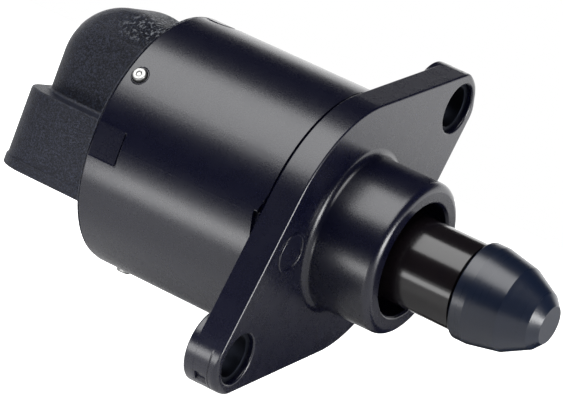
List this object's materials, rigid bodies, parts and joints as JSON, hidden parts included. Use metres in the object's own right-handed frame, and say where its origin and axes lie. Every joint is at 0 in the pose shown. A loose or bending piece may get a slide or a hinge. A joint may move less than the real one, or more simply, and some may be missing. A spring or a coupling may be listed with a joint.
{
  "type": "idle air control valve",
  "caption": "Flanged stepper-motor air valve: round motor barrel, two-ear mounting flange, collar, sliding conical pintle and a rear elbow connector that opens downwards.",
  "frame": {"origin": "centre of the bolt pattern on the flange's mounting face, on the valve's axis", "axes": "+X along the valve's axis towards the pintle's tip, -Z the way the connector opens, the flange's ears at 45 degrees between +Y and +Z"},
  "size_m": [0.0782, 0.0454, 0.0454],
  "materials": {
    "housing_plastic": "satin black glass-filled nylon moulding",
    "cap_plastic": "black moulding with a fine spark-eroded leather grain",
    "bright_steel": "bright ground steel",
    "tinned_brass": "tinned brass strip",
    "dull_steel": "blackened steel sleeve",
    "seal_rubber": "black nitrile rubber",
    "stator_steel": "zinc-plated deep-drawn sheet",
    "bobbin_plastic": "natural moulded plastic",
    "enamelled_copper": "enamelled copper winding",
    "guide_plastic": "natural acetal",
    "bearing_steel": "polished bearing steel",
    "ferrite": "dark ferrite",
    "hub_brass": "turned brass",
    "stem_plastic": "polished black plastic tube",
    "head_plastic": "turned black plastic with a satin finish"
  },
  "bodies": {
    "valve_body": {"housing": "housing_plastic", "connector_cap": "cap_plastic", "lock_pins": "bright_steel", "terminals": "tinned_brass", "mounting_bushes": "dull_steel", "cap_seal": "seal_rubber", "front_stator_cup": "stator_steel", "front_pole_plate": "stator_steel", "rear_pole_plate": "stator_steel", "rear_stator_cup": "stator_steel", "front_bobbin": "bobbin_plastic", "rear_bobbin": "bobbin_plastic", "front_winding": "enamelled_copper", "rear_winding": "enamelled_copper", "guide_bush": "guide_plastic", "bearing_outer_ring": "bearing_steel", "rear_bush": "hub_brass", "preload_spring": "bright_steel"},
    "rotor": {"rotor_magnet": "ferrite", "rotor_hub": "hub_brass", "bearing_inner_ring": "bearing_steel"},
    "bearing_set": {"bearing_balls": "bearing_steel", "bearing_cage": "tinned_brass"},
    "pintle": {"lead_screw": "bright_steel", "pintle_stem": "stem_plastic", "pintle_head": "head_plastic"}
  },
  "joints": [
    {"name": "rotor_spin", "type": "hinge", "parent": "valve_body", "child": "rotor", "pos_m": [-0.015, 0, 0], "axis": [1, 0, 0], "range_deg": [-720, 2160]},
    {"name": "bearing_roll", "type": "hinge", "parent": "valve_body", "child": "bearing_set", "pos_m": [-0.0085, 0, 0], "axis": [1, 0, 0], "range_deg": [-300, 900]},
    {"name": "pintle_slide", "type": "slide", "parent": "valve_body", "child": "pintle", "axis": [1, 0, 0], "range_m": [-0.00601, 0.00201]}
  ],
  "couplings": [
    {"joint": "bearing_roll", "follows": "rotor_spin", "ratio": 0.409},
    {"joint": "pintle_slide", "follows": "rotor_spin", "m_per_rad": -0.00015915}
  ]
}
